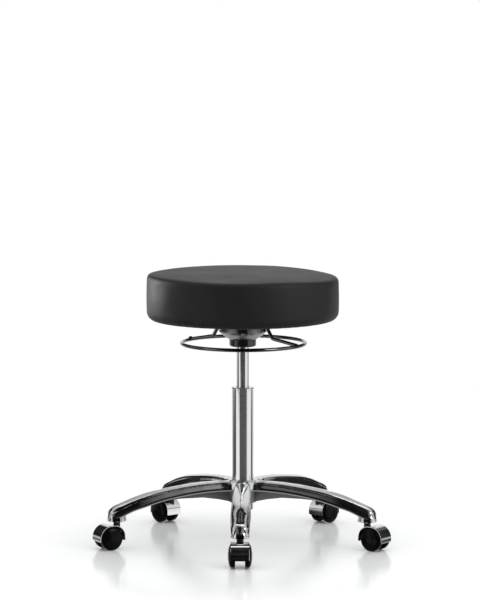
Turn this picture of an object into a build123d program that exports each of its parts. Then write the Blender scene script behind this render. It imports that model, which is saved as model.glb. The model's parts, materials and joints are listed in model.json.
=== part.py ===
from build123d import *
import math
import os

os.makedirs("parts", exist_ok=True)

# ---------------------------------------------------------------- dimensions (mm)
# frame: origin on the floor at the column axis, +Z up, one base arm along -Y
ARM_AZ = [-90, -18, 54, 126, 198]      # direction of each base arm
TRAIL_AZ = [-88.9, -33.9, 50.1, 132.1, 210.1]  # direction each caster trails at rest
STEM_R = 296.0                         # column axis to caster stem axis
BOSS_R = 21.9                          # caster boss at the arm tip, at its lower edge
BOSS_WAIST = 19.2                      # and where its dome starts
BOSS_Z = 63.0                          # underside of the boss
LIP = 2.8                                # bevel along the lower edge of the arm
DRAFT = 1.0                            # how far the arm's sides lean out to the underside
HUB_R = 36.0
HUB_TOP = 143.0
HUB_BOT = 92.0
TUBE_R = 24.5                          # outer column of the gas lift
TUBE_TOP = 351.0
TUBE_BOT = 76.0
COLLAR_TOP = 355.0
PRESS_R = 14.0                         # inner column (pressure tube)
PRESS_IN = 12.6
PRESS_BOT = 215.0
PRESS_TOP = 487.0
ROD_R = 5.0
HEAD_Z = 300.0
CUP_Z0, CUP_Z1, CUP_R = 448.0, 464.5, 30.4
RING_R = 139.6                         # release ring centre line
RING_X = 1.8                           # the ring hangs a little off centre
RING_Z = 455.4
RING_WIRE = 4.1                        # wire radius
BAR_AZ = -27.0                         # direction of the ring's crossbar
BAR_Z = 499.0                          # crossbar height over the valve button
SLOT_R = 55.0                          # where the crossbar leaves the mount
FLANGE_Z0, FLANGE_Z1, FLANGE_R = 507.6, 510.1, 92.0
BOARD_Z0, BOARD_Z1, BOARD_R = 510.8, 525.8, 198.0
SEAT_R = 217.5                         # outside of the cover
SEAT_BOT = 509.2
SEAT_TOP = 611.5
SEAT_CROWN = 3.0
SEAT_FLAT = 90.0                       # level middle of the seat
COVER_T = 1.5
BOLT_R = 76.0
WHEEL_R = 26.5
TRAIL = 21.5
HOOD_IN, HOOD_OUT = 27.8, 29.5         # hood band over the wheel
HOOD_W = 20.6                          # half width of the hood band
HOOD_BACK = -12.0                      # outside of the hood's upright wall behind the stem
HOOD_CORNER = 27.0                     # rounding of the hood over the stem
TIP_R = 5.0                            # rounding of the hood's lower corners
HOOD_TIP = -13.0                       # angle where the hood ends above the floor, outboard
AXLE_R = 2.5
STEM_RAD = 5.45


def out(name, shape):
    shape.label = name
    export_step(shape, f"parts/{name}.step")


def rev(pts, arc=360.0):
    face = make_face(Plane.XZ * Polyline(*pts, close=True))
    return revolve(face, Axis.Z, arc)


def ring(r0, r1, z0, z1):
    return rev([(r0, z0), (r1, z0), (r1, z1), (r0, z1)])


def disc(r, z0, z1):
    return Pos(0, 0, (z0 + z1) / 2) * Cylinder(r, z1 - z0)


def polar(r, az, z=0.0):
    a = math.radians(az)
    return (r * math.cos(a), r * math.sin(a), z)


def group(items):
    return Compound(children=list(items))


# ---------------------------------------------------------------- star base
def arm_section(x, top, shoulder, bottom, hw, crown):
    """Face across the arm at distance x: flat underside, bevelled lower edges, sides that lean out a little, crowned top."""
    rise = top - shoulder
    pts = []
    for k, h in zip((1.0, 0.95, 0.82, 0.62, 0.36, 0.10), crown):
        pts.append((k * hw, shoulder + h * rise))
    line = [(-y, z) for y, z in pts] + [(0.0, top)] + pts[::-1]
    pl = Plane(origin=(x, 0, 0), x_dir=(0, 1, 0), z_dir=(1, 0, 0))
    topc = Spline(*line, tangents=[(0, 1), (0, -1)])
    w = hw + DRAFT
    side = [line[-1], (w, bottom + LIP), (w - 0.45 * LIP, bottom), (0.45 * LIP - w, bottom), (-w, bottom + LIP), line[0]]
    return pl * make_face([topc] + [Line(p, q) for p, q in zip(side, side[1:])])


GABLE = (0.0, 0.34, 0.62, 0.76, 0.88, 0.975)
DOME = (0.0, 0.34, 0.63, 0.82, 0.945, 0.995)


def blend(t):
    return tuple(a + (b - a) * t for a, b in zip(GABLE, DOME))


# distance, ridge height, shoulder height, underside, half width, roundness
STATIONS = [
    (12, 143.0, 131.5, 120.0, 17.4, 0.0),
    (60, 143.0, 131.3, 120.0, 18.3, 0.0),
    (100, 141.6, 129.5, 118.3, 19.2, 0.0),
    (145, 137.2, 124.5, 113.5, 20.2, 0.0),
    (190, 131.0, 117.5, 105.5, 21.0, 0.0),
    (222, 125.0, 111.0, 97.0, 21.5, 0.1),
    (250, 117.0, 102.5, 89.0, 21.3, 0.35),
    (274, 108.0, 92.8, 80.0, 20.3, 0.7),
    (STEM_R - 1, 99.8, 83.5, 71.0, 19.9, 0.95),
    (STEM_R + 10, 94.2, 79.0, 68.0, 18.2, 1.0),
    (STEM_R + 17, 87.0, 74.5, 66.5, 13.2, 1.0),
]


def rail(inset_side=0.0, inset_top=0.0, drop=0.0, x0=None, x1=None):
    secs = []
    for x, t, s, b, hw, k in STATIONS:
        if x0 is not None and x < x0:
            continue
        if x1 is not None and x > x1:
            continue
        secs.append(arm_section(x, t - inset_top, s - inset_top, b - drop, hw - inset_side, blend(k)))
    return loft(secs)


arm = rail()
void = rail(4.0, 5.0, 6.0, x0=55, x1=260)
arm = arm - void
# stiffening rib under the arm, deepest at the hub
rib_pts = [(20, 94.0), (34, 95.2), (60, 101.5), (96, 107.0), (145, 107.0), (182, 105.0), (208, 101.0),
           (208, 115.0), (182, 122.0), (145, 129.0), (96, 134.0), (20, 136.0)]
rib = extrude(make_face(Plane.XZ * Polyline(*rib_pts, close=True)), 8.0, both=True)
arm = arm + rib
# domed boss at the tip that takes the caster
dome_pts = [(0.0, 95.0)]
rise = 95.0 - 80.0
for kk, hh in list(zip((0.10, 0.36, 0.62, 0.82, 0.95, 1.0), DOME[::-1])):
    dome_pts.append((kk * BOSS_WAIST, 80.0 + hh * rise))
sp = Spline(*dome_pts, tangents=[(1, 0), (0.10, -1)])
prof = make_face(Plane.XZ * (Curve() + [sp, Line(dome_pts[-1], (BOSS_R, BOSS_Z + 1.4)), Line((BOSS_R, BOSS_Z + 1.4), (BOSS_R - 1.4, BOSS_Z)),
                                        Line((BOSS_R - 1.4, BOSS_Z), (0, BOSS_Z)), Line((0, BOSS_Z), (0, 95.0))]))
arm = arm + Pos(STEM_R, 0, 0) * revolve(prof, Axis.Z, 360)
socket_hole = Pos(STEM_R, 0, 0) * disc(7.5, BOSS_Z - 1, 90.0)
arm = arm - socket_hole
hub = rev([(0, HUB_BOT), (HUB_R - 6, HUB_BOT), (HUB_R - 4, HUB_BOT + 2), (HUB_R, 124), (HUB_R, HUB_TOP - 4),
           (HUB_R - 3, HUB_TOP - 0.6), (HUB_R - 7, HUB_TOP + 1.2), (0, HUB_TOP + 1.2)])
base = hub + [Rot(0, 0, az) * arm for az in ARM_AZ]
bore = rev([(0, HUB_BOT - 1), (23.92, HUB_BOT - 1), (23.92, HUB_BOT), (TUBE_R + 0.02, 143.0), (TUBE_R + 0.02, 160), (0, 160)])
base = base - bore
out("star_base", base)

sockets, stems, grips = [], [], []
for az in ARM_AZ:
    x, y, _ = polar(STEM_R, az)
    sockets.append(Pos(x, y, 0) * rev([(5.55, BOSS_Z - 0.8), (9.5, BOSS_Z - 0.8), (9.5, BOSS_Z - 0.05), (7.48, BOSS_Z - 0.05),
                                       (7.48, 89.5), (5.55, 89.5)]))
    stems.append(Pos(x, y, 0) * rev([(0, 30.5), (STEM_RAD - 1, 30.5), (STEM_RAD, 31.5), (STEM_RAD, 59.4), (8.2, 59.4), (8.2, 61.9),
                                     (STEM_RAD, 61.9), (STEM_RAD, 78.0), (4.5, 78.4), (4.5, 80.6), (STEM_RAD, 81.0),
                                     (STEM_RAD, 86.5), (STEM_RAD - 1.5, 88.3), (0, 88.3)]))
    grips.append(Pos(x, y, 0) * rev([(4.6, 78.7), (5.5, 79.0), (5.5, 80.0), (4.6, 80.3)]))
out("caster_sockets", group(sockets))
out("caster_stems", group(stems))
out("stem_grip_rings", group(grips))

# ---------------------------------------------------------------- gas lift, outer column
tube = rev([(22.4, TUBE_BOT), (23.9, TUBE_BOT), (23.9, HUB_BOT), (TUBE_R, 143.0), (TUBE_R, TUBE_TOP - 3.4), (TUBE_R - 0.5, TUBE_TOP - 3.0),
            (TUBE_R - 0.5, TUBE_TOP - 1.6), (TUBE_R, TUBE_TOP - 1.2), (TUBE_R, TUBE_TOP), (22.4, TUBE_TOP)])
out("outer_tube", tube)
collar = rev([(14.6, TUBE_TOP + 0.02), (TUBE_R + 0.8, TUBE_TOP + 0.02), (TUBE_R + 1.1, TUBE_TOP + 0.6), (TUBE_R + 1.1, COLLAR_TOP - 1.2),
              (TUBE_R + 0.1, COLLAR_TOP), (15.4, COLLAR_TOP), (14.6, COLLAR_TOP - 0.8)])
out("tube_collar", collar)
out("guide_bushing", ring(PRESS_R + 0.06, 22.35, 281.0, TUBE_TOP - 0.2))
out("tube_floor", ring(ROD_R + 0.9, 22.38, TUBE_BOT, TUBE_BOT + 3.0))
out("thrust_race_lower", ring(ROD_R + 0.9, 15.0, 79.02, 81.0))
balls = []
for i in range(12):
    x, y, _ = polar(10.4, i * 30)
    balls.append(Pos(x, y, 82.98) * Sphere(1.95))
out("thrust_balls", group(balls))
out("thrust_race_upper", ring(ROD_R + 0.9, 15.0, 84.98, 87.0))
out("foot_bumper", ring(ROD_R + 0.9, 13.5, 87.05, 98.0))
out("retaining_clip", rev([(3.6, 72.6), (8.0, 72.6), (8.0, 73.8), (3.6, 73.8)]))

# ---------------------------------------------------------------- piston rod
rod = rev([(0, 70.5), (4.2, 70.5), (ROD_R - 0.2, 71.2), (ROD_R - 0.2, 72.4), (3.5, 72.4), (3.5, 74.0), (ROD_R, 74.0), (ROD_R, 299.0), (3.5, 299.0), (3.5, 312.0), (0, 312.0)])
out("piston_rod", rod)
head = rev([(3.52, HEAD_Z), (11.5, HEAD_Z), (12.52, HEAD_Z + 1), (12.52, HEAD_Z + 3.6), (11.2, HEAD_Z + 3.6), (11.2, HEAD_Z + 6.4),
            (12.52, HEAD_Z + 6.4), (12.52, HEAD_Z + 9), (11.5, HEAD_Z + 10), (3.52, HEAD_Z + 10)])
out("piston_head", head)
out("piston_seal", ring(11.22, 12.54, HEAD_Z + 3.7, HEAD_Z + 6.3))

# ---------------------------------------------------------------- inner column and seat mount
press = rev([(PRESS_IN, PRESS_BOT), (PRESS_R - 1, PRESS_BOT), (PRESS_R, PRESS_BOT + 1), (PRESS_R, PRESS_TOP - 1), (PRESS_R - 1, PRESS_TOP), (PRESS_IN, PRESS_TOP)])
out("pressure_tube", press)
out("rod_guide", ring(ROD_R + 0.05, PRESS_IN - 0.02, PRESS_BOT + 1, PRESS_BOT + 11))
out("valve_block", ring(4.06, PRESS_IN - 0.02, PRESS_TOP - 16, PRESS_TOP - 0.5))
out("valve_button", rev([(0, PRESS_TOP - 9), (4.0, PRESS_TOP - 9), (4.0, 493.4), (2.8, 494.6), (0, 494.6)]))
cup = rev([(PRESS_R + 0.02, CUP_Z0), (CUP_R - 4, CUP_Z0), (CUP_R - 1.2, CUP_Z0 + 1.2), (CUP_R, CUP_Z0 + 4), (CUP_R, CUP_Z1), (19.0, CUP_Z1),
           (18.0, 483.0), (PRESS_R + 0.02, 483.0)])
out("hub_cup", cup)
plate = rev([(19.2, CUP_Z1 + 0.02), (CUP_R, CUP_Z1 + 0.02), (CUP_R + 2.6, CUP_Z1 + 0.9), (50.6, 478.0), (54.6, 482.6), (58.6, 505.2), (61.0, FLANGE_Z0),
             (FLANGE_R, FLANGE_Z0), (FLANGE_R, FLANGE_Z1), (58.8, FLANGE_Z1), (56.0, 506.9), (52.1, 483.8), (49.0, 480.4), (31.0, CUP_Z1 + 2.9), (19.2, CUP_Z1 + 2.5)])
slot = Rot(0, 0, BAR_AZ) * (Pos(0, 0, 494.0) * Box(150, 11.0, 18.6))
slot = slot & ring(46.0, 66.0, 480.0, 506.0)
plate = plate - slot
bolt_at = [BAR_AZ + 45 + 90 * i for i in range(4)]
for az in bolt_at:
    x, y, _ = polar(BOLT_R, az)
    plate = plate - Pos(x, y, 0) * disc(3.3, 503, 513)
out("seat_mount_plate", plate)

# ---------------------------------------------------------------- seat
def holes(shape, r, z0, z1):
    for az in bolt_at:
        x, y, _ = polar(BOLT_R, az)
        shape = shape - Pos(x, y, 0) * disc(r, z0, z1)
    return shape


dust = rev([(0, FLANGE_Z1 + 0.03), (100, FLANGE_Z1 + 0.03), (176, 508.55), (188, 508.55), (188, 509.12), (176, 509.12),
            (100, BOARD_Z0 - 0.05), (0, BOARD_Z0 - 0.05)])
out("dust_cover", holes(dust, 3.6, 505, 512))
board = disc(BOARD_R, BOARD_Z0, BOARD_Z1)
board = board - disc(24.0, BOARD_Z0 - 1, BOARD_Z1 + 1)
out("seat_board", holes(board, 4.2, 505, 530))
tnuts, bolts, washers = [], [], []
for az in bolt_at:
    x, y, _ = polar(BOLT_R, az)
    tnuts.append(Pos(x, y, 0) * rev([(3.06, 514.0), (4.1, 514.0), (4.1, BOARD_Z1 + 0.04), (9.0, BOARD_Z1 + 0.04), (9.0, BOARD_Z1 + 1.4), (3.06, BOARD_Z1 + 1.4)]))
    washers.append(Pos(x, y, 0) * ring(3.3, 6.0, FLANGE_Z0 - 1.6, FLANGE_Z0 - 0.02))
    hexh = extrude(Pos(x, y, FLANGE_Z0 - 5.6) * RegularPolygon(5.6, 6), 3.98)
    bolts.append(hexh + Pos(x, y, 0) * disc(3.0, FLANGE_Z0 - 2.0, 525.0))
out("t_nuts", group(tnuts))
out("spring_washers", group(washers))
out("mount_bolts", group(bolts))


def seat_profile(off):
    """Outline of the upholstered seat, pulled in by off, as a closed face in XZ."""
    r, z0, z1 = SEAT_R - off, SEAT_BOT + off, SEAT_TOP - off
    rb, rt = 20.0 - off, 13.0 - off
    p = [(SEAT_FLAT, z1 + SEAT_CROWN), (r * 0.68, z1 + SEAT_CROWN * 0.72), (r - rt - 8, z1 + 0.2)]
    flat = Line((0, z1 + SEAT_CROWN), p[0])
    top = Spline(*p, tangents=[(1, 0), (1, -0.03)])
    c1 = ThreePointArc(p[-1], (r - rt * 0.42, z1 - rt * 0.34), (r, z1 - rt - 4))
    side = Line((r, z1 - rt - 4), (r, z0 + rb))
    c2 = ThreePointArc((r, z0 + rb), (r - rb * 0.293, z0 + rb * 0.293), (r - rb, z0))
    bot = Line((r - rb, z0), (0, z0))
    close = Line((0, z0), (0, z1 + SEAT_CROWN))
    return make_face(Plane.XZ * (Curve() + [flat, top, c1, side, c2, bot, close]))


outer = revolve(seat_profile(0), Axis.Z, 360)
inner = revolve(seat_profile(COVER_T), Axis.Z, 360)
cover = outer - inner
cover = cover - disc(182.0, SEAT_BOT - 2, SEAT_BOT + COVER_T + 0.5)
out("seat_cover", cover)
foam = revolve(seat_profile(COVER_T + 0.3), Axis.Z, 360) - disc(300.0, SEAT_BOT - 5, BOARD_Z1 + 0.1)
for az in bolt_at:
    x, y, _ = polar(BOLT_R, az)
    foam = foam - Pos(x, y, 0) * disc(10.0, BOARD_Z1 - 1, BOARD_Z1 + 2.5)
out("seat_foam", foam)
# ---------------------------------------------------------------- release ring with its crossbar
torus = Pos(RING_X, 0, RING_Z) * Torus(RING_R, RING_WIRE)
out("release_ring", torus)
shift = RING_X * math.cos(math.radians(BAR_AZ))
half = [(-RING_R + 3.3 + shift, RING_Z + 1.6), (-75.5, 467.5), (-58.8, BAR_Z), (58.8, BAR_Z), (75.5, 469.0), (RING_R - 3.3 + shift, RING_Z + 1.6)]
pl = Plane(origin=(0, 0, 0), x_dir=polar(1, BAR_AZ), z_dir=(math.sin(math.radians(BAR_AZ)), -math.cos(math.radians(BAR_AZ)), 0))
path = pl * FilletPolyline(*half, radius=9.0)
start = path @ 0
bar = sweep(Plane(origin=start, z_dir=path % 0) * Circle(RING_WIRE), path=path)
bead = Pos(start.X, start.Y, start.Z + 1.2) * Sphere(RING_WIRE + 1.3)
bar = bar + bead - torus
out("ring_crossbar", bar)

# ---------------------------------------------------------------- casters


def sector(r0, r1, a0, a1, hw, n=24):
    """Part of a ring about the wheel axle, from angle a0 to a1 above the trailing direction."""
    pts = [(r0 * math.cos(math.radians(a0 + (a1 - a0) * i / n)), r0 * math.sin(math.radians(a0 + (a1 - a0) * i / n))) for i in range(n + 1)]
    m0 = (r0 * math.cos(math.radians((a0 + a1) / 2)), r0 * math.sin(math.radians((a0 + a1) / 2)))
    m1 = (r1 * math.cos(math.radians((a0 + a1) / 2)), r1 * math.sin(math.radians((a0 + a1) / 2)))
    e0 = (r1 * math.cos(math.radians(a0)), r1 * math.sin(math.radians(a0)))
    e1 = (r1 * math.cos(math.radians(a1)), r1 * math.sin(math.radians(a1)))
    f = make_face(Curve() + [ThreePointArc(pts[0], m0, pts[-1]), Line(pts[-1], e1), ThreePointArc(e1, m1, e0), Line(e0, pts[0])])
    plane = Plane(origin=(TRAIL, 0, WHEEL_R), x_dir=(1, 0, 0), z_dir=(0, -1, 0))
    return extrude(plane * f, hw, both=True)


def hood_path(r, back, corner):
    """Side outline: an arc over the wheel, a short level top, a wide rounding over the stem and an upright wall."""
    a0, am = math.radians(HOOD_TIP), math.radians((HOOD_TIP + 90) / 2)
    cx, cz = back + corner, WHEEL_R + r - corner
    k = math.sqrt(0.5) * corner
    arc = ThreePointArc((TRAIL + r * math.cos(a0), WHEEL_R + r * math.sin(a0)), (TRAIL + r * math.cos(am), WHEEL_R + r * math.sin(am)), (TRAIL, WHEEL_R + r))
    top = Line((TRAIL, WHEEL_R + r), (cx, WHEEL_R + r))
    turn = ThreePointArc((cx, WHEEL_R + r), (cx - k, cz + k), (back, cz))
    wall = Line((back, cz), (back, 20.5))
    return [arc, top, turn, wall]


def hood_shape():
    outer_p = hood_path(HOOD_OUT, HOOD_BACK, HOOD_CORNER)
    t = HOOD_OUT - HOOD_IN
    inner_p = hood_path(HOOD_IN, HOOD_BACK + t, HOOD_CORNER - t)
    lines = outer_p + inner_p + [Line(outer_p[0] @ 0, inner_p[0] @ 0), Line(outer_p[3] @ 1, inner_p[3] @ 1)]
    plane = Plane(origin=(0, 0, 0), x_dir=(1, 0, 0), z_dir=(0, -1, 0))
    h = extrude(plane * make_face(Curve() + lines), HOOD_W, both=True)
    rims = []
    for f in (h.faces().sort_by(Axis.Y)[0], h.faces().sort_by(Axis.Y)[-1]):
        rims += f.outer_wire().edges()
    h = chamfer(rims, 0.5)
    h = h - disc(7.9, 36.0, 70.0)
    for y in (-1, 1):
        cut = Pos(10, y * (HOOD_W - TIP_R + 4.0), WHEEL_R - 6.5) * Box(80, 8.0, 10.0)
        cut = cut - Pos(10, y * (HOOD_W - TIP_R), WHEEL_R - 6.5 + TIP_R) * Rot(0, 90, 0) * Cylinder(TIP_R, 90)
        h = h - cut
    return h


def core_shape():
    c = sector(3.0, HOOD_IN - 0.03, -5, 185, 9.6)
    c = c + Pos(TRAIL, 0, WHEEL_R) * Rot(90, 0, 0) * Cylinder(7.0, 19.2)
    c = c + disc(7.6, 27.0, 59.0)
    c = c - Pos(TRAIL, 0, WHEEL_R) * Rot(90, 0, 0) * Cylinder(AXLE_R + 0.02, 60)
    c = c - disc(STEM_RAD + 0.06, 29.8, 60.0)
    return c


def wheel_shape(side):
    """Tread, then a shallow dome on the outside; revolved about Y."""
    y0, y1, y2 = 10.6, 20.2, 26.9
    w = WHEEL_R
    pts = [(AXLE_R + 0.06, y0), (w - 1.0, y0), (w, y0 + 1.0), (w, y1 - 1.0), (w - 0.8, y1)]
    dome = Spline((w - 0.8, y1), (w - 3.6, y1 + 2.8), (w - 9.0, y1 + 4.8), (w - 17.0, y1 + 6.1), (0.0, y2), tangents=[(-0.35, 1), (-1, 0)])
    lines = [Line(pts[i], pts[i + 1]) for i in range(4)]
    lines += [dome, Line((0, y2), (0, 24.6)), Line((0, 24.6), (AXLE_R + 0.06, 24.6)), Line((AXLE_R + 0.06, 24.6), (AXLE_R + 0.06, y0))]
    f = make_face(Curve() + lines)
    body = Pos(TRAIL, 0, WHEEL_R) * revolve(f, Axis.Y, 360)
    if side < 0:
        body = mirror(body, Plane.XZ)
    return body


hood0, core0 = hood_shape(), core_shape()
axle0 = Pos(TRAIL, 0, WHEEL_R) * Rot(90, 0, 0) * Cylinder(AXLE_R, 48.6)
wl0, wr0 = wheel_shape(+1), wheel_shape(-1)
for i, (az, tr) in enumerate(zip(ARM_AZ, TRAIL_AZ), 1):
    x, y, _ = polar(STEM_R, az)
    loc = Pos(x, y, 0) * Rot(0, 0, tr)
    out(f"caster_{i}_hood", loc * hood0)
    out(f"caster_{i}_core", loc * core0)
    out(f"caster_{i}_axle", loc * axle0)
    out(f"caster_{i}_wheel_a", loc * wl0)
    out(f"caster_{i}_wheel_b", loc * wr0)

# ---------------------------------------------------------------- staples round the underside
flat = []
for i in range(36):
    crown = Pos(184.5, 0, 508.16) * Box(0.9, 10.0, 0.7)
    flat.append(Rot(0, 0, i * 10 + 5) * crown)
out("cover_staples", group(flat))
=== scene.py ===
import bmesh
import bpy
import json
import math
import numpy as np
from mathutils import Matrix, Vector


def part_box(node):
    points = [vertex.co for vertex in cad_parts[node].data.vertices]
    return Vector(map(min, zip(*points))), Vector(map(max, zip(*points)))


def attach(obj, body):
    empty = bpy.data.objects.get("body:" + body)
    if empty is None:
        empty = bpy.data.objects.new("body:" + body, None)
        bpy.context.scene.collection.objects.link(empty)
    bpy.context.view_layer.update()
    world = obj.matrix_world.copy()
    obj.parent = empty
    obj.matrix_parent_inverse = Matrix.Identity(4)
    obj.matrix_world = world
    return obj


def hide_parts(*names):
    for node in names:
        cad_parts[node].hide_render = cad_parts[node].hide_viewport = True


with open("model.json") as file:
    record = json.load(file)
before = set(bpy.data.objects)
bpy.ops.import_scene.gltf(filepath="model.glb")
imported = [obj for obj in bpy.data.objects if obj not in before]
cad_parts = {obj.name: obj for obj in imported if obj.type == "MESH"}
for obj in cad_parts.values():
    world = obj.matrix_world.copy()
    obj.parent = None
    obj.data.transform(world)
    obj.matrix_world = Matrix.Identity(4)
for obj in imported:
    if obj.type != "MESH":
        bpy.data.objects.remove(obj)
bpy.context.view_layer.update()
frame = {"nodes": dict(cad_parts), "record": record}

NODES = frame["nodes"]


# ------------------------------------------------------------------ node helpers
class Mat:
    """A small wrapper that builds one procedural Principled material."""

    def __init__(self, name, color, rough, metallic=0.0, specular=0.5, coat=0.0, coat_rough=0.05, sheen=0.0, aniso=0.0, ior=1.5):
        m = bpy.data.materials.new(name)
        m.use_nodes = True
        self.m, self.nt = m, m.node_tree
        self.nt.nodes.clear()
        self.out = self.n("ShaderNodeOutputMaterial")
        self.b = self.n("ShaderNodeBsdfPrincipled")
        self.nt.links.new(self.b.outputs[0], self.out.inputs[0])
        self.b.inputs["Base Color"].default_value = (*color, 1)
        self.b.inputs["Roughness"].default_value = rough
        self.b.inputs["Metallic"].default_value = metallic
        self.b.inputs["Specular IOR Level"].default_value = specular
        self.b.inputs["Coat Weight"].default_value = coat
        self.b.inputs["Coat Roughness"].default_value = coat_rough
        self.b.inputs["Sheen Weight"].default_value = sheen
        self.b.inputs["Anisotropic"].default_value = aniso
        self.b.inputs["IOR"].default_value = ior
        self.coord = self.n("ShaderNodeTexCoord")
        self.height = None

    def n(self, kind, **props):
        node = self.nt.nodes.new(kind)
        for k, v in props.items():
            setattr(node, k, v)
        return node

    def link(self, a, b):
        self.nt.links.new(a, b)

    def pos(self, stretch=(1, 1, 1)):
        mp = self.n("ShaderNodeMapping")
        mp.inputs["Scale"].default_value = stretch
        self.link(self.coord.outputs["Object"], mp.inputs["Vector"])
        return mp.outputs[0]

    def math(self, op, a, b=None, c=None, clamp=False):
        node = self.n("ShaderNodeMath", operation=op, use_clamp=clamp)
        for i, v in enumerate((a, b, c)):
            if v is None:
                continue
            if isinstance(v, (int, float)):
                node.inputs[i].default_value = v
            else:
                self.link(v, node.inputs[i])
        return node.outputs[0]

    def noise(self, scale, detail=3.0, rough=0.5, distort=0.0, stretch=(1, 1, 1)):
        t = self.n("ShaderNodeTexNoise")
        t.inputs["Scale"].default_value = scale
        t.inputs["Detail"].default_value = detail
        t.inputs["Roughness"].default_value = rough
        t.inputs["Distortion"].default_value = distort
        self.link(self.pos(stretch), t.inputs["Vector"])
        return t.outputs["Fac"]

    def voronoi(self, scale, feature="F1", rand=1.0, stretch=(1, 1, 1)):
        t = self.n("ShaderNodeTexVoronoi", feature=feature)
        t.inputs["Scale"].default_value = scale
        t.inputs["Randomness"].default_value = rand
        self.link(self.pos(stretch), t.inputs["Vector"])
        return t.outputs["Distance"]

    def remap(self, v, a, b, lo, hi, smooth=False):
        r = self.n("ShaderNodeMapRange")
        r.interpolation_type = "SMOOTHSTEP" if smooth else "LINEAR"
        r.inputs["From Min"].default_value = a
        r.inputs["From Max"].default_value = b
        r.inputs["To Min"].default_value = lo
        r.inputs["To Max"].default_value = hi
        self.link(v, r.inputs["Value"])
        return r.outputs[0]

    def mix(self, fac, c0, c1):
        mx = self.n("ShaderNodeMix", data_type="RGBA")
        self.link(fac, mx.inputs[0])
        for v, s in ((c0, mx.inputs[6]), (c1, mx.inputs[7])):
            if isinstance(v, tuple):
                s.default_value = (*v, 1)
            else:
                self.link(v, s)
        return mx.outputs[2]

    def color(self, v):
        self.link(v, self.b.inputs["Base Color"])

    def rough(self, v):
        self.link(v, self.b.inputs["Roughness"])

    def bump(self, v, strength, distance):
        """Adds a bump on top of the ones before it."""
        bp = self.n("ShaderNodeBump")
        bp.inputs["Strength"].default_value = strength
        bp.inputs["Distance"].default_value = distance
        self.link(v, bp.inputs["Height"])
        if self.height is not None:
            self.link(self.height, bp.inputs["Normal"])
        self.height = bp.outputs["Normal"]
        for name in ("Normal", "Coat Normal"):
            for l in list(self.b.inputs[name].links):
                self.nt.links.remove(l)
        self.link(self.height, self.b.inputs["Normal"])
        self.link(self.height, self.b.inputs["Coat Normal"])


def dress(obj, mat):
    obj.data.materials.clear()
    obj.data.materials.append(mat)


# ------------------------------------------------------------------ materials
def chrome(name, color, r0, r1, wave=0.00012, metal=1.0):
    k = Mat(name, color, r0, metallic=metal)
    wipe = k.noise(22, 5, 0.62, 0.6)
    k.rough(k.remap(wipe, 0.35, 0.75, r0, r1, True))
    tint = k.noise(9, 2)
    k.color(k.mix(tint, tuple(c * 0.965 for c in color), tuple(min(1, c * 1.03) for c in color)))
    k.bump(k.noise(14, 2), 0.25, wave)
    k.bump(k.noise(900, 2), 0.05, 0.00002)
    return k


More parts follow.
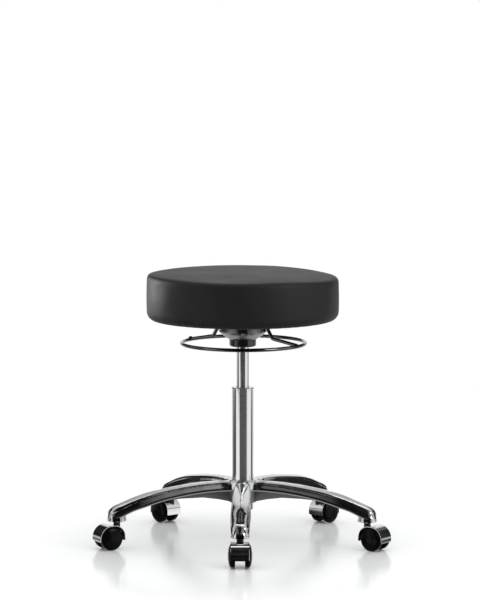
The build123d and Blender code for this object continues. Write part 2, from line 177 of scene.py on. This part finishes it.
def polished_casting():
    """Mirror polish on the outside of the arms; plain sanded metal on the rib and inside the channel under them,
    given a darker colour there that is partly its own mottled cast tone and partly painted shade from the arm above.
    """
    k = Mat("polished_casting", (0.80, 0.81, 0.81), 0.08, metallic=1.0)
    sep = k.n("ShaderNodeSeparateXYZ")
    k.link(k.coord.outputs["Object"], sep.inputs[0])
    r = k.math("SQRT", k.math("ADD", k.math("MULTIPLY", sep.outputs[0], sep.outputs[0]), k.math("MULTIPLY", sep.outputs[1], sep.outputs[1])))
    ramp = k.n("ShaderNodeFloatCurve")
    cur = ramp.mapping.curves[0]
    pts = [(0.0, 0.122), (0.060, 0.1195), (0.100, 0.1178), (0.145, 0.1130), (0.190, 0.1050), (0.215, 0.0985), (0.222, 0.02), (0.4, 0.02)]
    cur.points[0].location = (0.0, pts[0][1] * 5)
    cur.points[1].location = (1.0, pts[-1][1] * 5)
    for x, y in pts[1:-1]:
        cur.points.new(x / 0.4, y * 5)
    for p in cur.points:
        p.handle_type = "VECTOR"
    ramp.mapping.update()
    k.link(k.math("DIVIDE", r, 0.4), ramp.inputs["Value"])
    edge = k.math("DIVIDE", ramp.outputs[0], 5.0)
    below = k.remap(k.math("SUBTRACT", edge, sep.outputs[2]), 0.0, 0.0006, 0.0, 1.0)
    satin_and_shade = k.math("MULTIPLY", below, 1.0, clamp=True)
    blotch = k.noise(60, 6, 0.6, 0.4)
    grit = k.noise(1500, 2)
    # painted shade: the rib and channel under the arms get a much darker grey than the polish; the blotches are the
    # casting's own mottled tone, the overall darkness stands in for shade under the rail
    rib_tone_and_shade = k.mix(blotch, (0.30, 0.305, 0.30), (0.40, 0.40, 0.395))
    tint = k.mix(k.noise(8, 2), (0.70, 0.71, 0.708), (0.745, 0.755, 0.752))
    k.color(k.mix(satin_and_shade, tint, rib_tone_and_shade))
    k.rough(k.math("ADD", k.remap(k.noise(26, 5, 0.6, 0.5), 0.35, 0.75, 0.045, 0.11, True), k.math("MULTIPLY", satin_and_shade, 0.42)))
    # the sides of the arms are slightly barrelled: height above the lower edge, squared
    low = k.n("ShaderNodeFloatCurve")
    cur = low.mapping.curves[0]
    pts = [(0.0, 0.1200), (0.060, 0.1200), (0.100, 0.1183), (0.145, 0.1135), (0.190, 0.1055), (0.222, 0.0970), (0.250, 0.0890), (0.274, 0.0800), (0.295, 0.0710), (0.308, 0.0675), (0.4, 0.0665)]
    cur.points[0].location = (0.0, pts[0][1] * 5)
    cur.points[1].location = (1.0, pts[-1][1] * 5)
    for x, y in pts[1:-1]:
        cur.points.new(x / 0.4, y * 5)
    for p in cur.points:
        p.handle_type = "VECTOR"
    low.mapping.update()
    k.link(k.math("DIVIDE", r, 0.4), low.inputs["Value"])
    lift = k.math("SUBTRACT", sep.outputs[2], k.math("DIVIDE", low.outputs[0], 5.0))
    lift = k.math("MAXIMUM", k.math("SUBTRACT", lift, 0.0022), 0.0)
    near = k.math("MINIMUM", lift, 0.0080)
    barrel = k.math("ADD", k.math("MULTIPLY", k.math("MULTIPLY", near, near), -28.0), k.math("MULTIPLY", k.math("SUBTRACT", k.math("MINIMUM", lift, 0.0150), near), -0.448))
    barrel = k.math("MULTIPLY", barrel, k.remap(r, 0.040, 0.062, 0.0, 1.0, True))
    bp = k.n("ShaderNodeBump")
    bp.inputs["Strength"].default_value = 1.0
    bp.inputs["Distance"].default_value = 1.0
    k.link(barrel, bp.inputs["Height"])
    k.height = bp.outputs["Normal"]
    k.bump(k.noise(12, 2), 0.3, 0.0002)
    k.bump(k.math("MULTIPLY", grit, satin_and_shade), 0.35, 0.00012)
    return k.m


def vinyl():
    k = Mat("black_vinyl", (0.02, 0.02, 0.02), 0.42, specular=0.27)
    cell = k.voronoi(620, "DISTANCE_TO_EDGE")
    fine = k.voronoi(1400, "DISTANCE_TO_EDGE")
    grain = k.math("ADD", k.remap(cell, 0.0, 0.16, 0.0, 1.0, True), k.math("MULTIPLY", k.remap(fine, 0.0, 0.2, 0.0, 1.0, True), 0.4))
    k.bump(k.noise(18, 2, 0.5, 0.3), 0.2, 0.0004)
    k.bump(grain, 0.35, 0.00010)
    wear = k.noise(11, 4, 0.55, 0.3)
    base = k.mix(wear, (0.0082, 0.0087, 0.0083), (0.0116, 0.0122, 0.0117))
    k.color(base)
    k.rough(k.math("ADD", k.remap(wear, 0.3, 0.7, 0.48, 0.55), k.remap(grain, 0.0, 1.4, 0.05, -0.02)))
    return k.m


def moulded(name, color, r0, r1, specular=0.5, coat=0.0, bump=0.0001, scale=260):
    k = Mat(name, color, r0, specular=specular, coat=coat, coat_rough=0.08)
    k.color(k.mix(k.noise(40, 4), tuple(c * 0.8 for c in color), tuple(c * 1.25 for c in color)))
    k.rough(k.remap(k.noise(75, 5, 0.6, 0.3), 0.35, 0.7, r0, r1, True))
    k.bump(k.noise(scale, 3, 0.6), 0.3, bump)
    return k.m


def zinc():
    k = Mat("zinc_plate", (0.6, 0.61, 0.6), 0.32, metallic=1.0)
    k.color(k.mix(k.noise(160, 4, 0.6, 1.0), (0.50, 0.51, 0.50), (0.68, 0.68, 0.66)))
    k.rough(k.remap(k.noise(240, 4), 0.3, 0.7, 0.24, 0.42))
    k.bump(k.noise(1200, 2), 0.15, 0.00003)
    return k.m


def plywood():
    k = Mat("plywood", (0.6, 0.45, 0.3), 0.6)
    w = k.n("ShaderNodeTexWave", wave_type="BANDS", bands_direction="X")
    w.inputs["Scale"].default_value = 22
    w.inputs["Distortion"].default_value = 5
    w.inputs["Detail"].default_value = 4
    k.link(k.pos((1, 0.16, 1)), w.inputs["Vector"])
    k.color(k.mix(w.outputs["Fac"], (0.50, 0.34, 0.19), (0.68, 0.52, 0.34)))
    k.bump(k.noise(300, 4, 0.6, 0, (1, 0.1, 1)), 0.3, 0.0002)
    return k.m


def cloth(name, color):
    k = Mat(name, color, 0.9, specular=0.15, sheen=0.15)
    fib = k.noise(520, 6, 0.75, 1.5)
    k.color(k.mix(fib, tuple(c * 0.5 for c in color), tuple(c * 1.6 for c in color)))
    k.rough(k.remap(fib, 0.3, 0.7, 0.82, 0.97))
    k.bump(fib, 0.7, 0.0003)
    dots = k.voronoi(420, "F1", 0.0)
    k.bump(k.remap(dots, 0.1, 0.3, 0.0, 1.0, True), 0.3, 0.0002)
    return k.m


def foam():
    k = Mat("foam", (0.78, 0.74, 0.62), 0.95, specular=0.1)
    c = k.voronoi(900)
    k.color(k.mix(c, (0.55, 0.51, 0.42), (0.80, 0.76, 0.65)))
    k.bump(c, 0.8, 0.0004)
    return k.m


CHROME = chrome("chrome", (0.80, 0.81, 0.82), 0.035, 0.085, metal=0.90).m
CHROME_P = chrome("piston_chrome", (0.80, 0.81, 0.82), 0.05, 0.10, metal=0.90).m
HOOD = chrome("hood_chrome", (0.82, 0.83, 0.83), 0.06, 0.13, 0.0001).m
RING = chrome("ring_plate", (0.17, 0.17, 0.175), 0.08, 0.15, 0.00005).m
DARKPLATE = chrome("dark_plate", (0.42, 0.42, 0.425), 0.16, 0.22, 0.00002).m
ALLOY = chrome("machined_alloy", (0.70, 0.70, 0.71), 0.22, 0.34).m
CAST = polished_casting()
VINYL = vinyl()
WHEEL = moulded("wheel_nylon", (0.0025, 0.0025, 0.0026), 0.14, 0.22, 0.10, 0.0, 0.00004)
NYLON = moulded("black_nylon", (0.012, 0.012, 0.0125), 0.38, 0.52, 0.4, 0.0, 0.00012)
GLOSS = moulded("gloss_black", (0.008, 0.008, 0.0085), 0.10, 0.18, 0.5, 0.6, 0.00005)
OXIDE = moulded("black_oxide", (0.012, 0.012, 0.012), 0.30, 0.45, 0.5, 0.0, 0.00006)
RUBBER = moulded("rubber", (0.012, 0.012, 0.012), 0.6, 0.8, 0.3)
ZINC = zinc()
PLY = plywood()
DUST = cloth("dust_cloth", (0.012, 0.012, 0.012))
FOAM = foam()

BY_SLOT = {
    "polished_alloy": CAST, "chrome_tube": CHROME, "chrome_piston": CHROME_P, "hood_chrome": HOOD, "ring_metal": RING,
    "black_steel": OXIDE, "zinc_steel": ZINC, "black_nylon": NYLON, "black_rubber": RUBBER, "alloy": ALLOY,
    "black_gloss": GLOSS, "black_paint": DARKPLATE, "dark_plate": DARKPLATE, "plywood": PLY, "foam": FOAM, "vinyl": VINYL, "dust_cloth": DUST, "wheel_black": WHEEL,
}
for sp in frame["record"]["subparts"]:
    if sp["node"] in NODES:
        dress(NODES[sp["node"]], BY_SLOT[sp["material_slot"]])


# ------------------------------------------------------------------ the cushion
(sx0, sy0, sz0), (sx1, sy1, sz1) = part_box("seat_cover")
R_OUT = (sx1 - sx0) / 2
Z0, Z1 = sz0, sz1
HEM_R = 0.182


def lathe(profile, n):
    """A closed surface of revolution; the first and last points lie on the axis."""
    bm = bmesh.new()
    rings = []
    for r, z in profile:
        if r < 1e-6:
            rings.append([bm.verts.new((0, 0, z))])
        else:
            rings.append([bm.verts.new((r * math.cos(2 * math.pi * i / n), r * math.sin(2 * math.pi * i / n), z)) for i in range(n)])
    for a, b in zip(rings, rings[1:]):
        for i in range(n):
            j = (i + 1) % n
            if len(a) == 1:
                bm.faces.new((a[0], b[i], b[j]))
            elif len(b) == 1:
                bm.faces.new((a[j], a[i], b[0]))
            else:
                bm.faces.new((a[i], b[i], b[j], a[j]))
    bmesh.ops.recalc_face_normals(bm, faces=bm.faces)
    me = bpy.data.meshes.new("lathe")
    bm.to_mesh(me)
    bm.free()
    return me


def cushion_profile(inset):
    r, z0, z1 = R_OUT - inset, Z0 - 0.0006, Z1 - 0.0012 - inset * 0.5
    rt, rb = 0.0100, 0.0185
    p = [(0.0, z1 + 0.0012)]
    for k in range(1, 16):
        q = (r - rt - 0.004) * k / 15
        p.append((q, z1 + 0.0012 * (1 - (k / 15) ** 2.2)))
    for k in range(1, 9):
        a = math.radians(90 - 90 * k / 8)
        p.append((r - rt + rt * math.cos(a), z1 - rt * 1.1 + rt * 1.1 * math.sin(a) - 0.0001))
    for k in range(1, 9):
        p.append((r + 0.0005 * math.sin(math.pi * k / 9), z1 - rt * 1.1 - (z1 - rt * 1.1 - z0 - rb) * k / 9))
    for k in range(0, 9):
        a = math.radians(-90 * k / 8)
        p.append((r - rb + rb * math.cos(a), z0 + rb + rb * math.sin(a)))
    for k in range(1, 12):
        p.append(((r - rb) * (1 - k / 12), z0))
    p.append((0.0, z0))
    return p


def build_cushion():
    me = lathe(cushion_profile(0.0010), 168)
    ob = bpy.data.objects.new("vinyl_cushion", me)
    bpy.context.scene.collection.objects.link(ob)
    bpy.context.view_layer.objects.active = ob
    ob.select_set(True)
    rm = ob.modifiers.new("remesh", "REMESH")
    rm.mode = "VOXEL"
    rm.voxel_size = 0.0050
    bpy.ops.object.modifier_apply(modifier=rm.name)
    n = len(ob.data.vertices)
    before = np.empty(n * 3)
    ob.data.vertices.foreach_get("co", before)
    before = before.reshape(-1, 3)
    pin = ob.vertex_groups.new(name="pin")
    hold = [int(i) for i in np.where(before[:, 2] < Z0 + 0.004)[0]]
    pin.add(hold, 1.0, "REPLACE")
    cl = ob.modifiers.new("cloth", "CLOTH")
    cl.settings.use_pressure = True
    cl.settings.uniform_pressure_force = 4.0
    cl.settings.tension_stiffness = 25
    cl.settings.compression_stiffness = 25
    cl.settings.shear_stiffness = 12
    cl.settings.bending_stiffness = 1.2
    cl.settings.quality = 5
    cl.settings.vertex_group_mass = "pin"
    cl.settings.effector_weights.gravity = 0
    cl.point_cache.frame_start = 1
    cl.point_cache.frame_end = 20
    sc = bpy.context.scene
    for f in range(1, 21):
        sc.frame_set(f)
    bpy.ops.object.modifier_apply(modifier=cl.name)
    sc.frame_set(1)
    after = np.empty(len(ob.data.vertices) * 3)
    ob.data.vertices.foreach_get("co", after)
    after = after.reshape(-1, 3)
    move = after - before
    length = np.linalg.norm(move, axis=1, keepdims=True)
    cap = 0.0014
    move = move * np.minimum(1.0, cap / np.maximum(length, 1e-9))
    move = soften(ob.data, move, 40, 0.5)
    shape = before + move
    # relaxed softening of the remesh's steps
    shape = soften(ob.data, shape, 4)
    shape = sculpt(shape)
    reach = np.hypot(shape[:, 0], shape[:, 1])
    side = (shape[:, 2] > Z0 + 0.03) & (shape[:, 2] < Z1 - 0.03) & (reach > 0.19)
    grow = (R_OUT + 0.0004) / float(np.median(reach[side]))
    shape[:, :2] *= grow
    ob.data.vertices.foreach_set("co", shape.reshape(-1))
    ob.data.update()
    bm = bmesh.new()
    bm.from_mesh(ob.data)
    drop = [v for v in bm.verts if v.co.z < Z0 + 0.006 and math.hypot(v.co.x, v.co.y) < HEM_R]
    bmesh.ops.delete(bm, geom=drop, context="VERTS")
    bm.to_mesh(ob.data)
    bm.free()
    sub = ob.modifiers.new("subdiv", "SUBSURF")
    sub.levels = sub.render_levels = 1
    bpy.ops.object.modifier_apply(modifier=sub.name)
    sol = ob.modifiers.new("vinyl_thickness", "SOLIDIFY")
    sol.thickness = 0.0013
    sol.offset = -1
    bpy.ops.object.modifier_apply(modifier=sol.name)
    for poly in ob.data.polygons:
        poly.use_smooth = True
    ob.select_set(False)
    return ob


def soften(mesh, co, times, back=-0.52):
    edges = np.empty(len(mesh.edges) * 2, dtype=np.int64)
    mesh.edges.foreach_get("vertices", edges)
    edges = edges.reshape(-1, 2)
    n = len(co)
    deg = np.bincount(edges.reshape(-1), minlength=n)[:, None]
    for k in range(times):
        acc = np.zeros_like(co)
        np.add.at(acc, edges[:, 0], co[edges[:, 1]])
        np.add.at(acc, edges[:, 1], co[edges[:, 0]])
        mean = acc / np.maximum(deg, 1)
        w = 0.5 if k % 2 == 0 else back
        co = co + w * (mean - co)
    return co


def step(a, b, x):
    t = np.clip((x - a) / (b - a), 0, 1)
    return t * t * (3 - 2 * t)


def sculpt(co):
    """Uneven filling, a lower rim on the right, and gathers where the vinyl is pulled under the board."""
    rng = np.random.RandomState(11)
    x, y, z = co[:, 0].copy(), co[:, 1].copy(), co[:, 2].copy()
    r = np.hypot(x, y)
    th = np.arctan2(y, x)
    up = step(Z0 + 0.045, Z1 - 0.006, z)
    sag = 0.0078 * step(0.060, 0.235, x) * up
    lump = np.zeros_like(x)
    for _ in range(9):
        a, ph, amp = rng.randint(1, 5), rng.uniform(0, 6.28), rng.uniform(0.0001, 0.00035)
        lump += amp * np.cos(a * th + ph) * step(0.02, 0.16, r)
    dz = -sag + lump * up
    dr = np.zeros_like(x)
    # gathers: narrow radial folds, deepest under the bottom edge and gone a third of the way up the side
    low = step(Z0 + 0.024, Z0 + 0.003, z)
    fade = step(0.150, 0.200, r)
    fold = np.zeros_like(x)
    for k in range(64):
        c = (k + rng.uniform(-0.35, 0.35)) * 2 * math.pi / 64
        w = rng.uniform(0.010, 0.020)
        amp = rng.uniform(0.25, 1.0)
        d = np.angle(np.exp(1j * (th - c)))
        reach = rng.uniform(0.5, 1.0)
        fold += amp * np.exp(-(d / w) ** 2) * np.clip(low * 1.3 - (1 - reach) * 0.6, 0, 1)
    dr -= 0.0009 * fold * fade * (z > Z0 + 0.0015)
    dz += 0.0006 * fold * fade * step(Z0 + 0.012, Z0 + 0.001, z)
    # faint upright stretch waves round the side
    side = step(Z0 + 0.02, Z0 + 0.05, z) * (1 - step(Z1 - 0.03, Z1 - 0.012, z))
    for _ in range(10):
        a, ph, amp = rng.randint(6, 26), rng.uniform(0, 6.28), rng.uniform(0.00002, 0.00007)
        dr += amp * np.cos(a * th + ph + 9 * (z - Z0)) * side * step(0.19, 0.21, r)
    s = np.where(r > 1e-6, (r + dr) / np.maximum(r, 1e-6), 1.0)
    return np.stack([x * s, y * s, z + dz], axis=1)


cushion = build_cushion()
dress(cushion, VINYL)
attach(cushion, "lift")
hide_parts("seat_cover", "seat_foam")

# ------------------------------------------------------------------ floor
bpy.ops.mesh.primitive_grid_add(x_subdivisions=2, y_subdivisions=2, size=5.2, location=(0, 0, 0))
floor = bpy.context.object
floor.name = "floor"
f = Mat("pale_floor", (0.86, 0.865, 0.865), 0.32, specular=0.30)
rad = f.n("ShaderNodeVectorMath", operation="LENGTH")
f.link(f.coord.outputs["Object"], rad.inputs[0])
fade = f.remap(rad.outputs["Value"], 0.95, 1.65, 0.0, 1.0, True)
f.rough(f.remap(f.noise(7, 4), 0.3, 0.7, 0.14, 0.19))
# painted shadow: the floor colour is darker near the centre under the stool and lightens outwards, standing in for
# the stool's soft shadow
near = f.remap(rad.outputs["Value"], 0.12, 0.92, 0.0, 1.0, True)
f.color(f.mix(near, f.mix(f.noise(3, 3), (0.685, 0.70, 0.697), (0.715, 0.725, 0.723)), f.mix(f.noise(3, 3), (0.85, 0.86, 0.858), (0.875, 0.88, 0.878))))
clear = f.n("ShaderNodeBsdfTransparent")
mixs = f.n("ShaderNodeMixShader")
f.link(fade, mixs.inputs[0])
f.link(f.b.outputs[0], mixs.inputs[1])
f.link(clear.outputs[0], mixs.inputs[2])
f.link(mixs.outputs[0], f.out.inputs[0])
dress(floor, f.m)
floor.visible_glossy = False

# ------------------------------------------------------------------ studio
world = bpy.data.worlds.new("studio")
bpy.context.scene.world = world
world.use_nodes = True
nt = world.node_tree
nt.nodes.clear()
L = nt.links.new


def wn(kind, **p):
    node = nt.nodes.new(kind)
    for k, v in p.items():
        setattr(node, k, v)
    return node


def wm(op, a, b=None, clamp=False):
    node = wn("ShaderNodeMath", operation=op, use_clamp=clamp)
    for i, v in enumerate((a, b)):
        if v is None:
            continue
        if isinstance(v, (int, float)):
            node.inputs[i].default_value = v
        else:
            L(v, node.inputs[i])
    return node.outputs[0]


def wramp(v, stops, ease="EASE"):
    node = wn("ShaderNodeValToRGB")
    cr = node.color_ramp
    cr.interpolation = ease
    while len(cr.elements) < len(stops):
        cr.elements.new(0.5)
    for e, (p, c) in zip(cr.elements, stops):
        e.position = p
        e.color = (c, c, c, 1)
    L(v, node.inputs[0])
    return node.outputs[0]


def deg(a):
    return (a + 180.0) / 360.0


tc = wn("ShaderNodeTexCoord")
sep = wn("ShaderNodeSeparateXYZ")
L(tc.outputs["Generated"], sep.inputs[0])
az = wm("ADD", wm("DIVIDE", wm("ARCTAN2", sep.outputs[0], wm("MULTIPLY", sep.outputs[1], -1.0)), 2 * math.pi), 0.5)
# brightness round the horizon: 0 deg is the front, positive to the right
low_band = wramp(az, [(deg(-180), 0.95), (deg(-130), 0.62), (deg(-122), 0.02), (deg(-78), 0.02), (deg(-70), 1.0), (deg(-38), 1.02), (deg(-29), 0.012), (deg(30), 0.012), (deg(40), 0.12),
                      (deg(52), 0.92), (deg(93), 1.0), (deg(102), 0.04), (deg(120), 0.04), (deg(130), 0.62), (deg(180), 0.95)])
gap_band = wramp(az, [(deg(-180), 0.90), (deg(-140), 0.50), (deg(-97), 0.45), (deg(-90), 0.03), (deg(-80), 0.03), (deg(-72), 1.0), (deg(-56), 1.0), (deg(-44), 0.004), (deg(40), 0.004), (deg(54), 0.92),
                      (deg(97), 0.90), (deg(108), 0.45), (deg(140), 0.50), (deg(180), 0.90)])
high_band = wramp(az, [(deg(-180), 0.95), (deg(-160), 0.90), (deg(-148), 0.012), (deg(-119), 0.012), (deg(-112), 0.45), (deg(-99), 0.45), (deg(-93), 0.03), (deg(-84), 0.03), (deg(-74), 1.0), (deg(-56), 1.0),
                       (deg(-45), 0.002), (deg(44), 0.002), (deg(54), 0.92), (deg(97), 0.85), (deg(107), 0.45), (deg(112), 0.02), (deg(142), 0.015), (deg(158), 0.90), (deg(180), 0.95)])
mid_band = wramp(az, [(deg(-180), 0.95), (deg(-168), 0.80), (deg(-158), 0.012), (deg(-120), 0.02), (deg(-112), 0.55), (deg(-100), 0.70), (deg(-56), 0.80), (deg(-44), 0.004), (deg(30), 0.02), (deg(43), 0.02), (deg(54), 0.80),
                      (deg(102), 0.70), (deg(109), 0.50), (deg(115), 0.02), (deg(152), 0.015), (deg(166), 0.80), (deg(180), 0.95)])
pit = wramp(az, [(0.0, 0.50), (deg(-140), 0.55), (deg(-126), 0.55), (deg(-110), 0.14), (deg(-60), 0.34), (deg(-34), 0.20), (deg(-20), 0.004), (deg(20), 0.004), (deg(34), 0.20), (deg(60), 0.34), (deg(95), 0.30), (deg(112), 0.50), (1.0, 0.50)])
upper = wramp(az, [(0.0, 0.65), (deg(-165), 0.50), (deg(-120), 0.58), (deg(-90), 0.62), (deg(-45), 0.12), (deg(-32), 0.11), (deg(-18), 0.004), (deg(12), 0.004), (deg(29), 0.19), (deg(52), 0.40), (deg(90), 0.62), (deg(120), 0.58), (deg(165), 0.50), (1.0, 0.65)])
roof_fac = wramp(wm("ADD", wm("ADD", wm("MULTIPLY", sep.outputs[1], 0.5), wm("MULTIPLY", sep.outputs[0], 0.10)), 0.5), [(0.0, 0.02), (0.487, 0.02), (0.515, 1.0), (1.0, 1.0)])
up_z = sep.outputs[2]
roof = wn("ShaderNodeMix", data_type="RGBA", blend_type="MULTIPLY")
roof.inputs[0].default_value = 1.0
roof.inputs[7].default_value = (1.35, 1.35, 1.35, 1)
L(roof_fac, roof.inputs[6])
roof = roof.outputs[2]


def wmix(fac, c0, c1):
    node = wn("ShaderNodeMix", data_type="RGBA")
    L(fac, node.inputs[0])
    L(c0, node.inputs[6])
    L(c1, node.inputs[7])
    return node.outputs[2]


def zstep(z0, z1):
    """0 below height z0 of the view direction, 1 above z1."""
    node = wn("ShaderNodeMapRange")
    node.interpolation_type = "SMOOTHSTEP"
    node.inputs["From Min"].default_value = z0
    node.inputs["From Max"].default_value = z1
    L(up_z, node.inputs["Value"])
    return node.outputs[0]


room = wmix(zstep(-0.42, -0.26), pit, low_band)
room = wmix(zstep(-0.99, -0.80), wramp(up_z, [(0.0, 0.05), (1.0, 0.05)]), room)
room = wmix(zstep(-0.15, -0.12), room, gap_band)
room = wmix(zstep(0.00, 0.05), room, high_band)
room = wmix(zstep(0.24, 0.30), room, mid_band)
room = wmix(zstep(0.52, 0.64), room, upper)
room = wmix(zstep(0.84, 0.94), room, roof)
lp = wn("ShaderNodeLightPath")
bg_glossy = wn("ShaderNodeBackground")
L(room, bg_glossy.inputs["Color"])
bg_glossy.inputs["Strength"].default_value = 1.0
bg_soft = wn("ShaderNodeBackground")
dome = wramp(sep.outputs[2], [(0.0, 0.55), (0.35, 0.95), (1.0, 1.25)])
L(dome, bg_soft.inputs["Color"])
bg_soft.inputs["Strength"].default_value = 1.28
bg_cam = wn("ShaderNodeBackground")
bg_cam.inputs["Color"].default_value = (1, 1, 1, 1)
bg_cam.inputs["Strength"].default_value = 1.0
m1 = wn("ShaderNodeMixShader")
L(lp.outputs["Is Glossy Ray"], m1.inputs[0])
L(bg_soft.outputs[0], m1.inputs[1])
L(bg_glossy.outputs[0], m1.inputs[2])
m2 = wn("ShaderNodeMixShader")
L(lp.outputs["Is Camera Ray"], m2.inputs[0])
L(m1.outputs[0], m2.inputs[1])
L(bg_cam.outputs[0], m2.inputs[2])
wo = wn("ShaderNodeOutputWorld")
L(m2.outputs[0], wo.inputs[0])


def softbox(name, at, look, size, power, size_y=None):
    d = bpy.data.lights.new(name, "AREA")
    d.energy = power
    d.shape = "RECTANGLE"
    d.size = size
    d.size_y = size_y or size
    o = bpy.data.objects.new(name, d)
    o.location = at
    o.rotation_euler = (Vector(look) - Vector(at)).to_track_quat("-Z", "Y").to_euler()
    bpy.context.scene.collection.objects.link(o)
    return o


softbox("key_right", (2.3, -1.7, 1.7), (0, 0, 0.45), 1.2, 20)
rim = softbox("rim_left", (-2.3, 1.5, 0.75), (0, 0, 0.52), 0.8, 30)
rim.visible_diffuse = False
only = bpy.data.collections.new("lit_by_rim")
only.objects.link(cushion)
rim.light_linking.receiver_collection = only

# ------------------------------------------------------------------ camera
CAM_D, CAM_H, CAM_PITCH, CAM_YAW, CAM_AZ, CAM_F = 7.0442, 1.3042, 6.087, 0.0512, 1.1327, 3134.69
a = math.radians(CAM_AZ)
cam = bpy.data.cameras.new("camera")
cam.sensor_width = 36.0
cam.lens = CAM_F / 600 * 36.0
cam.clip_end = 100
camera = bpy.data.objects.new("camera", cam)
camera.location = (CAM_D * math.sin(a), -CAM_D * math.cos(a), CAM_H)
camera.rotation_euler = (math.radians(90 - CAM_PITCH), 0, math.radians(CAM_AZ + CAM_YAW))
bpy.context.scene.collection.objects.link(camera)
bpy.context.scene.camera = camera
bpy.context.scene.view_settings.view_transform = "Standard"
